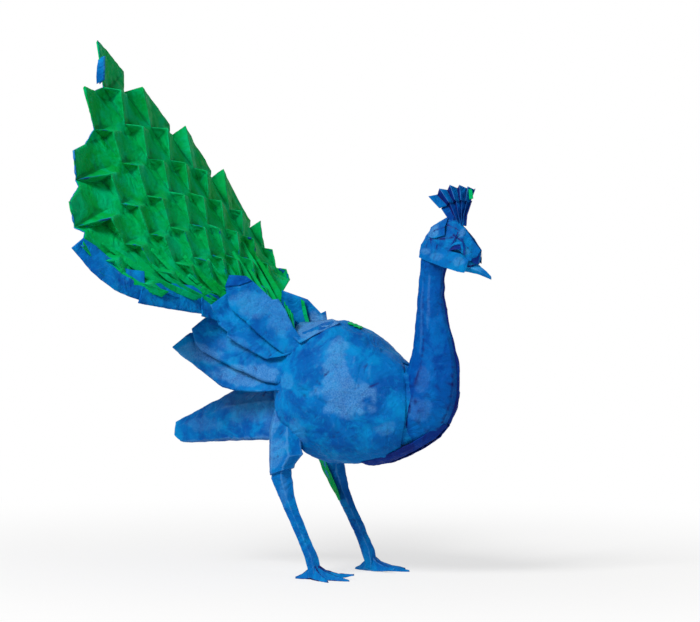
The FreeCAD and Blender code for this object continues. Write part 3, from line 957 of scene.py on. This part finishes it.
def make_beak():
    """Two narrow layers, folded down from under the forehead."""
    sheet = Sheet()
    rings = []
    for x, z, deep, half in BEAK:
        rings.append([(x, 0.0, z + deep / 2), (x, half, z), (x, half * 0.5, z - deep / 2),
                      (x, -half * 0.5, z - deep / 2), (x, -half, z)])
    sheet.tube([ring[::-1] for ring in rings])
    # a patch of painted sheen on the beak
    paper_piece("beak", sheet, (blue,), crumpled=0.08, size=3.0,
                wear_and_sheen=((62.0, 123.4, 2.0, 1.0, 0.4),), crisp=True)


# ---- crest -----------------------------------------------
CREST_PINCH = Vector((55.0, 0.0, 141.6))
CREST_RIM = (  # X and Z, ridge and valley in turn
    (40.4, 151.5), (42.8, 152.2), (45.1, 154.6), (47.2, 154.0), (49.7, 156.1), (51.6, 154.8),
    (53.9, 156.2), (55.7, 154.8), (57.6, 155.6), (59.0, 154.3), (60.7, 154.8),
)


def make_crest():
    """Broad pleats above a cross fold; below it narrow ones gather to a pinched stem."""
    sheet = Sheet()
    last = len(CREST_RIM) - 1

    def fanned(share, depth, back):
        """A row across the fan, at a share of the way from the stem to the rim."""
        line = []
        for k, (x, z) in enumerate(CREST_RIM):
            spot = CREST_PINCH.lerp(Vector((x, 0.0, z)), share)
            line.append((spot.x, back + depth * (0.5 if k % 2 else -0.5), spot.z))
        return line

    def crowded(left, right, low, depth):
        """A gathered row: its folds crowd toward the right."""
        line = []
        for k in range(last + 1):
            share = (k / last) ** 0.55
            line.append((left + (right - left) * share, depth * (0.5 if k % 2 else -0.5),
                         low[0] + (low[1] - low[0]) * share))
        return line

    upper = [fanned(1.0, 3.0, -0.2), fanned(0.60, 2.2, -0.5)]
    upper[1][0] = (45.0, -1.4, 146.9)
    lower = [fanned(0.64, 2.0, 0.7), crowded(48.0, 56.4, (143.6, 144.4), 1.8),
             crowded(51.6, 55.9, (140.4, 140.0), 1.2)]
    lower[0][0] = (45.2, -0.3, 146.8)
    # every other pleat is in the shaded paper, as painted shade on the sides that face away from the
    # light
    for rows, papers in ((upper, (0, DARK)), (lower, (NAVY, DARK))):
        for high, low in zip(rows, rows[1:]):
            for k in range(last):
                sheet.facet([low[k], low[k + 1], high[k + 1], high[k]], papers[k % 2])
    for k in range(2):              # two slivers of the green side
        sheet.facet([(58.4 + 0.8 * k, -1.9, 150.4 + 0.2 * k), (59.2 + 0.8 * k, -1.8, 150.6 + 0.2 * k),
                     (59.0 + 0.7 * k, -2.1, 154.2), (58.2 + 0.7 * k, -2.2, 154.6)], GREEN_SIDE)
    paper_piece("crest", sheet, PAPERS, crumpled=0.06, size=4.0, thick=0.3, crisp=True)


# ---- wings -----------------------------------------------
STRIPS = (  # tip to root: X and Z of the lower and of the upper edge
    (
        ((-62.5, 90.2), (-56.6, 96.1)), ((-58.4, 86.9), (-54.3, 96.4)),
        ((-52.7, 82.8), (-50.8, 92.6)), ((-47.0, 78.5), (-43.8, 87.8)),
        ((-41.6, 74.8), (-36.9, 84.2)), ((-36.9, 73.4), (-30.5, 81.2)),
        ((-30.4, 73.3), (-25.3, 79.4)), ((-22.5, 73.6), (-17.5, 78.6)),
        ((-14.7, 74.4), (-15.0, 79.6)),
    ),
    (
        ((-54.2, 97.7), (-48.8, 103.4)), ((-52.6, 91.7), (-45.9, 104.1)),
        ((-50.2, 89.2), (-41.9, 99.6)), ((-43.8, 85.9), (-36.9, 95.0)),
        ((-36.9, 82.6), (-30.6, 91.4)), ((-29.2, 79.4), (-24.3, 88.4)),
        ((-23.3, 77.2), (-18.7, 88.8)), ((-17.4, 76.6), (-14.4, 89.5)),
    ),
    (
        ((-46.1, 107.3), (-40.7, 112.4)), ((-44.9, 103.9), (-38.7, 107.7)),
        ((-43.1, 99.7), (-35.6, 104.9)), ((-39.3, 96.8), (-32.5, 102.5)),
        ((-39.9, 95.0), (-30.4, 100.7)), ((-35.6, 92.6), (-27.1, 97.6)),
        ((-30.0, 89.5), (-22.1, 93.7)), ((-23.5, 86.4), (-18.3, 91.2)),
        ((-18.0, 87.4), (-13.8, 91.3)), ((-13.1, 88.9), (-12.0, 93.2)),
    ),
)
PANEL = (  # upper panel, from its free end to the fold: X and Z
    ((-38.7, 106.6), (-39.9, 110.9), (-40.6, 115.1)),
    ((-36.2, 104.3), (-35.3, 109.6), (-34.7, 115.7)),
    ((-34.0, 102.5), (-30.8, 107.8), (-30.0, 117.5)),
    ((-31.8, 101.1), (-28.1, 106.6), (-25.1, 112.6)),
    ((-30.4, 100.1), (-24.9, 105.4), (-22.2, 109.8)),
)
SHOULDER = (  # the panel over it, from the fold to the root
    ((-31.8, 101.1), (-28.1, 104.8), (-23.0, 109.8)),
    ((-27.0, 96.4), (-23.6, 102.3), (-19.9, 110.3)),
    ((-22.0, 92.4), (-18.6, 98.0), (-16.9, 106.0)),
    ((-15.9, 88.2), (-13.9, 93.2), (-13.3, 99.3)),
    ((-11.8, 88.9), (-10.1, 92.0), (-8.9, 93.9)),
)
FOLDED_TIP = (  # corner of the upper panel, folded over
    ((-40.6, 114.8), (-38.8, 119.6)),
    ((-34.7, 115.5), (-35.0, 119.5)),
    ((-29.9, 117.4), (-32.0, 119.2)),
)
WING_SHOULDER = -19.0               # X where the wing starts to lean in
LEFT_WING_PIVOT = Vector((-14.0, 0.0, 94.0))
LEFT_WING_DROP = math.radians(28.0)


def wing_place(x, z, lift):
    """A point at lift off the wing's own surface, which leans out toward the free ends and in at
    the shoulder."""
    off = WING_SHOULDER - x
    return (x, 15.0 + 0.2 * off - 0.12 * (z - 85.0) * clamp(1.0 - off / 14.0) + lift, z)


def make_wing():
    """The left wing: flat strips, the lower edge of each lying over the one below it."""
    sheet = Sheet()

    def lay(rows, lifts, side=0):
        sheet.grid([[wing_place(x, z, lift) for (x, z), lift in zip(row, lifts)] for row in rows],
                   side=side)

    shares = (0.0, 0.07, 0.35, 0.68, 1.0)
    for number, strip in enumerate(STRIPS):
        rows = [[Vector(low).lerp(Vector(high), share) for share in shares] for low, high in strip]
        lay(rows, [lift + 0.35 * number for lift in (1.6, 2.2, 1.3, 0.2, -1.2)])
    lay(PANEL, (1.8, 1.7, 1.6))
    lay(SHOULDER, (2.6, 2.5, 2.3))
    lay(FOLDED_TIP, (2.0, 2.0), side=NAVY)
    return sheet


def make_wings():
    """Both wings; the left one hangs lower, turned about its shoulder."""
    # patches of painted sheen
    painted_sheen = ((-52.0, 88.0, 10.0, 4.0, 0.6), (-32.0, 80.0, 12.0, 4.0, 0.75),
              (-28.0, 108.0, 8.0, 5.0, 0.4), (-18.0, 103.0, 6.0, 6.0, 0.35),
              (-36.0, 92.0, 8.0, 3.0, 0.25))
    left = make_wing()
    paper_piece("wing_right", left.mirror(), PAPERS,
                crumpled=0.25, thick=0.4, wear_and_sheen=painted_sheen, crisp=True)
    c, s = math.cos(LEFT_WING_DROP), math.sin(LEFT_WING_DROP)
    turned = []
    for point in left.corners:
        x, y, z = Vector(point) - LEFT_WING_PIVOT
        turned.append((LEFT_WING_PIVOT.x + x * c - z * s, y, LEFT_WING_PIVOT.z + x * s + z * c))
    left.corners = turned
    paper_piece("wing_left", left, PAPERS,
                crumpled=0.3, thick=0.4, wear_and_sheen=painted_sheen, crisp=True)


# ---- flap under the tail ---------------------------------
FLAP = (  # X, highest Z, depth and half the width
    (-12.0, 76.0, 23.0, 15.0), (-28.0, 76.0, 23.2, 13.0), (-48.5, 72.1, 20.4, 8.0),
    (-62.0, 65.2, 14.6, 4.6), (-71.9, 60.1, 9.9, 2.6), (-75.4, 58.3, 5.4, 1.4),
)


def make_flap():
    """Tapers back from the rump to a blunt end, creased along its top."""
    rings = []
    for x, top, deep, half in FLAP:
        right = [(x, half * 0.75, top - deep * 0.3), (x, half, top - deep * 0.94)]
        left = [(x, -y, z) for x, y, z in right[::-1]]
        rings.append([(x, 0.0, top), *right, (x, 0.0, top - deep), *left])
    sheet = Sheet()
    sheet.tube(rings)
    # patches of painted sheen
    painted_sheen = ((-36.0, 66.0, 14.0, 6.0, 0.35), (-60.0, 58.0, 8.0, 3.0, 0.3),
              (-22.0, 62.0, 5.0, 8.0, 0.3))
    paper_piece("tail_flap", sheet, (blue,), levels=4, crumpled=0.25, wear_and_sheen=painted_sheen, crisp=True)


RUMP = (  # share of the way from the back to the train, depth, half the width
    (-0.1, 12.0, 13.0), (0.5, 9.0, 10.0), (1.0, 6.0, 9.0), (1.25, 2.6, 9.0),
)


def make_rump():
    """The gathered paper between the back and the train."""
    root = Vector(TRAIN_CENTRE) + train_way * TRAIN_BASE
    low = Vector((-10.4, 0.0, 80.3))
    rings = []
    for share, deep, wide in RUMP:
        centre = low + (root - low) * share
        ring = []
        for place in range(16):
            turn = 2 * math.pi * (place + 0.5) / 16
            pleat = 1.0 if place % 2 else 0.84
            spot = centre + train_way * (deep * 0.5 * math.cos(turn) * pleat)
            spot = spot + train_face * (deep * 0.5 * math.cos(turn) * pleat)
            ring.append(spot + Vector((0, wide * math.sin(turn) * pleat, 0)))
        rings.append(ring)
    sheet = Sheet()
    sheet.grid(rings, closed=True, sharp_columns=range(16), sharp=0.8)
    sheet.cap(rings[0])
    sheet.cap(rings[-1])
    paper_piece("rump", sheet, (blue,), levels=2, size=7.0)


# ---- legs ------------------------------------------------
STANCE = 20.0                       # middle of a foot from the middle plane
STRIDE = 2.0                        # each foot ahead of or behind the drawing's foot line
FOOT_X = 0.5
SHANK = (  # height, X of the back and front edge from the foot, half width
    (0.6, -1.6, 3.4, 2.4), (3.6, -1.9, 3.6, 2.5), (8.7, -3.6, 2.5, 2.2), (13.0, -5.5, 0.2, 2.1),
    (20.0, -9.1, -3.2, 2.0), (26.5, -12.6, -6.4, 2.2), (32.6, -15.8, -8.7, 2.6),
    (37.6, -18.4, -9.5, 3.2), (39.2, -19.2, -9.9, 3.5), (44.0, -18.6, -10.6, 3.4),
)
SHANK_SECTION = (  # share of the way from back to front, share of the half width
    (0.0, -0.2), (0.16, 0.9), (0.66, 1.0), (1.0, 0.0), (0.75, -1.0), (0.2, -0.9),
)
THIGH = (  # X of back and front, height of both, half width, distance
    (-19.5, -8.8, 40.4, 43.9, 4.5, 18.8),       # from the middle plane
    (-20.0, -8.5, 41.6, 45.6, 4.7, 18.5),
    (-20.8, -5.0, 46.5, 49.2, 5.0, 17.6),
    (-21.2, -6.4, 52.6, 51.4, 5.4, 16.6),
    (-22.6, -8.1, 57.5, 58.0, 4.6, 14.4),
    (-21.1, -11.6, 66.0, 67.0, 2.6, 12.6),
)
THIGH_SECTION = ((0.0, 0.1), (0.2, 0.9), (0.72, 1.0), (1.0, 0.2), (0.8, -0.8), (0.2, -0.8))
TOES = (  # degrees outward, length and how far the tip lifts
    (-24.0, 16.4, 1.4), (6.0, 17.4, 0.0), (38.0, 15.0, 0.0), (168.0, 7.1, 0.0),
)
TOE = (  # share of the length, half width, height, share of the lift
    (-0.10, 1.7, 6.5, 0.0), (0.12, 1.8, 6.0, 0.0), (0.32, 1.7, 3.7, 0.0), (0.62, 1.4, 2.0, 0.25),
    (1.0, 0.35, 0.7, 1.0),
)
TURNED_EDGE = (  # height, X of the back, width of the strip
    (28.0, -12.9, 0.5), (33.0, -16.0, 2.0), (40.0, -19.8, 2.6), (46.0, -22.4, 2.4),
    (50.0, -23.6, 1.6),
)


def shank_middle(side, height):
    """Y of the shank, which leans in toward the body."""
    return side * (STANCE - 0.06 * max(height - 20.0, 0.0))


def make_leg(side):
    """Thigh, knee, shank and foot; side is -1 on the right and 1 on the left."""
    foot = Vector((FOOT_X + side * STRIDE, side * STANCE, 0.0))
    sheet = Sheet()

    rings = []
    for height, back, front, half in SHANK:
        middle = shank_middle(side, height)
        ring = [(foot.x + back + (front - back) * share, middle + side * half * wide, height)
                for share, wide in SHANK_SECTION]
        rings.append(ring[::-side])
    sheet.tube(rings)

    wedge = []                      # the thigh has flat sides and is folded under at the knee
    for back, front, high_back, high_front, half, middle in THIGH:
        ring = [(foot.x + back + (front - back) * share, side * (middle + half * wide),
                 high_back + (high_front - high_back) * share) for share, wide in THIGH_SECTION]
        wedge.append(ring[::-side])
    sheet.tube(wedge)

    for turn, length, lift in TOES:             # ridged strips that rise to the ankle
        way = Vector((math.cos(math.radians(turn)), side * math.sin(math.radians(turn)), 0.0))
        across = Vector((-way.y, way.x, 0.0))
        toe = []
        for share, half, high, raised in TOE:
            spot = foot + way * (length * share) + Vector((0, 0, lift * raised))
            ring = [spot - across * half, spot + across * half, spot + Vector((0, 0, high))]
            toe.append(ring[::side])
        part = Sheet()
        part.tube(toe)
        sheet.add(part)

    if side > 0:                    # the green side of the paper, turned out along the back edge
        strip = []
        for height, back, wide in TURNED_EDGE:
            middle = shank_middle(side, height)
            strip.append([(foot.x + back + 0.1, middle - 1.6, height),
                          (foot.x + back + wide + 2.2, middle - 4.4, height)])
        sheet.grid(strip, side=GREEN_SIDE)
    # patches of painted sheen on the thigh and shank
    painted_sheen = ((-22.0, 60.0, 4.0, 6.0, 0.6), (-18.0, 50.0, 4.0, 6.0, 0.5),
              (-14.0, 33.0, 1.5, 7.0, 0.3))
    paper_piece("leg_right" if side < 0 else "leg_left", sheet, PAPERS, crumpled=0.14, size=5.0,
                wear_and_sheen=painted_sheen, crisp=True)


make_train()
make_train_hem()
make_train_roots()
make_body()
make_flanks()
make_saddle()
make_keel()
make_neck()
make_head()
make_beak()
make_crest()
make_wings()
make_flap()
make_rump()
for side in (-1, 1):
    make_leg(side)


# ---- floor, light and camera -----------------------------
def seen(tree):
    """1 where the camera sees a thing itself, in a reflection or through something clear."""
    camera, glossy, clear = (node(tree, "LightPath", {}, f"Is {kind} Ray")
                             for kind in ("Camera", "Glossy", "Transmission"))
    either = node(tree, "Math", {0: camera, 1: glossy}, operation="MAXIMUM")
    return node(tree, "Math", {0: either, 1: clear}, operation="MAXIMUM")


def make_floor():
    """A pale floor that keeps the bird's shadow and turns white, to the camera, away from it."""
    mesh = bpy.data.meshes.new("floor")
    half = 4.0
    corners = [(-half, -half, 0), (half, -half, 0), (half, half, 0), (-half, half, 0)]
    mesh.from_pydata(corners, [], [(0, 1, 2, 3)])
    nodes = Nodes("floor")
    feed(nodes.tree, nodes.shader, {"Base Color": (0.86, 0.85, 0.84, 1), "Roughness": 0.9})
    far = node(nodes.tree, "VectorMath", {0: nodes.place}, "Value", operation="LENGTH")
    share = nodes.times(nodes.span(far, 0.06, 0.34, 0.62, 1.0), seen(nodes.tree))
    both = node(nodes.tree, "MixShader", {
        0: share, 1: nodes.shader.outputs[0], 2: node(nodes.tree, "Emission", {})})
    feed(nodes.tree, nodes.tree.nodes["Material Output"], {"Surface": both})
    mesh.materials.append(nodes.material)
    put("floor", mesh)


def out_from(azimuth, elevation):
    """The way out from the bird toward a lamp or a camera; azimuth 0 is its right side."""
    a, e = math.radians(azimuth), math.radians(elevation)
    return Vector((math.sin(a) * math.cos(e), -math.cos(a) * math.cos(e), math.sin(e)))


def point_at(holder, aim, way, distance):
    holder.location = aim + way * distance
    holder.rotation_euler = (-way).to_track_quat("-Z", "Y").to_euler()


def make_lamp(name, azimuth, elevation, distance, size, power):
    lamp = bpy.data.lights.new(name, "AREA")
    lamp.size = size
    lamp.energy = power
    point_at(put(name, lamp), Vector((0, 0, 0.1)), out_from(azimuth, elevation), distance)


def make_world():
    """White to the camera and in reflections, plain soft light on the object."""
    world = bpy.data.worlds.new("studio")
    bpy.context.scene.world = world
    world.use_nodes = True
    tree = world.node_tree
    strength = node(tree, "MapRange", {"Value": seen(tree), "To Min": 0.27, "To Max": 1.0}, "Result")
    feed(tree, tree.nodes["Background"], {"Strength": strength, "Color": (1, 1, 1, 1)})


def make_camera():
    """From the bird's right and a little ahead, nearly level, through a long lens."""
    azimuth, elevation = 28.0, 3.0
    view_width = 0.280
    beside, below = 0.0244, 0.0013          # the picture's middle from the bird's
    back = out_from(azimuth, elevation)
    right = Vector((math.cos(math.radians(azimuth)), math.sin(math.radians(azimuth)), 0.0))
    up = back.cross(right)
    low, high = cad_bounds
    lens = bpy.data.cameras.new("camera")
    lens.lens = 250
    lens.clip_end = 100
    camera = put("camera", lens)
    point_at(camera, (low + high) / 2 + right * beside - up * below, back,
             view_width * lens.lens / lens.sensor_width)
    bpy.context.scene.camera = camera


make_floor()
make_lamp("key", -12, 44, 1.3, 0.45, 15.5)
make_lamp("fill", 75, 25, 1.4, 1.2, 2.5)
make_world()
make_camera()
bpy.context.scene.view_settings.view_transform = "Standard"
